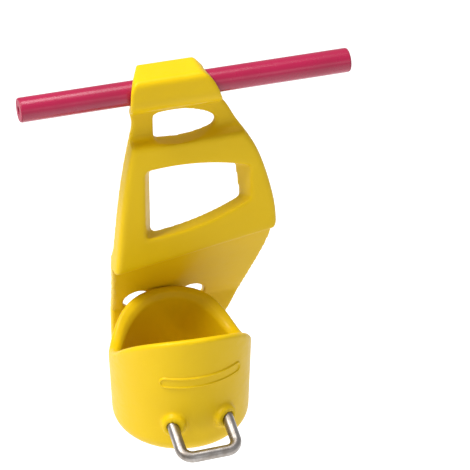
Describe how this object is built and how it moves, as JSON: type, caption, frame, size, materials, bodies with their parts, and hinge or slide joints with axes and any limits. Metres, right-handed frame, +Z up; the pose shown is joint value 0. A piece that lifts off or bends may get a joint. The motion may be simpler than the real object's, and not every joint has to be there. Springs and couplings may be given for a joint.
{
  "type": "hanging cup carrier",
  "caption": "Yellow moulded hanger and round cup that slide and swing on a red steel bar, with a bent steel wire loop at the front",
  "frame": {"origin": "on the bar's axis, at the bar's left end", "axes": "X along the bar, Z up, the front of the cup and its loop towards -Y"},
  "size_m": [0.3432, 0.2259, 0.4055],
  "materials": {
    "bar_paint": "semi-gloss powder coat",
    "plug_plastic": "matt moulded, red like the bar",
    "bush_plastic": "matt turned nylon",
    "yellow_plastic": "soft semi-gloss moulded",
    "zinc_steel": "zinc plated",
    "loop_steel": "satin bent wire"
  },
  "bodies": {
    "bar": {"bar_tube": "bar_paint", "bar_plug_left": "plug_plastic", "bar_plug_right": "plug_plastic"},
    "slider": {"slide_bushes": "bush_plastic"},
    "carrier": {"hanger": "yellow_plastic", "cup": "yellow_plastic", "cup_bolts": "zinc_steel", "cup_washers": "zinc_steel", "cup_nuts": "zinc_steel", "wire_loop": "loop_steel", "loop_washers": "zinc_steel", "loop_nuts": "zinc_steel"}
  },
  "joints": [
    {"name": "bar_slide", "type": "slide", "parent": "bar", "child": "slider", "axis": [1, 0, 0], "range_m": [-0.07, 0.09]},
    {"name": "bar_swing", "type": "hinge", "parent": "slider", "child": "carrier", "pos_m": [0.156, 0, 0], "axis": [1, 0, 0], "continuous": true}
  ]
}
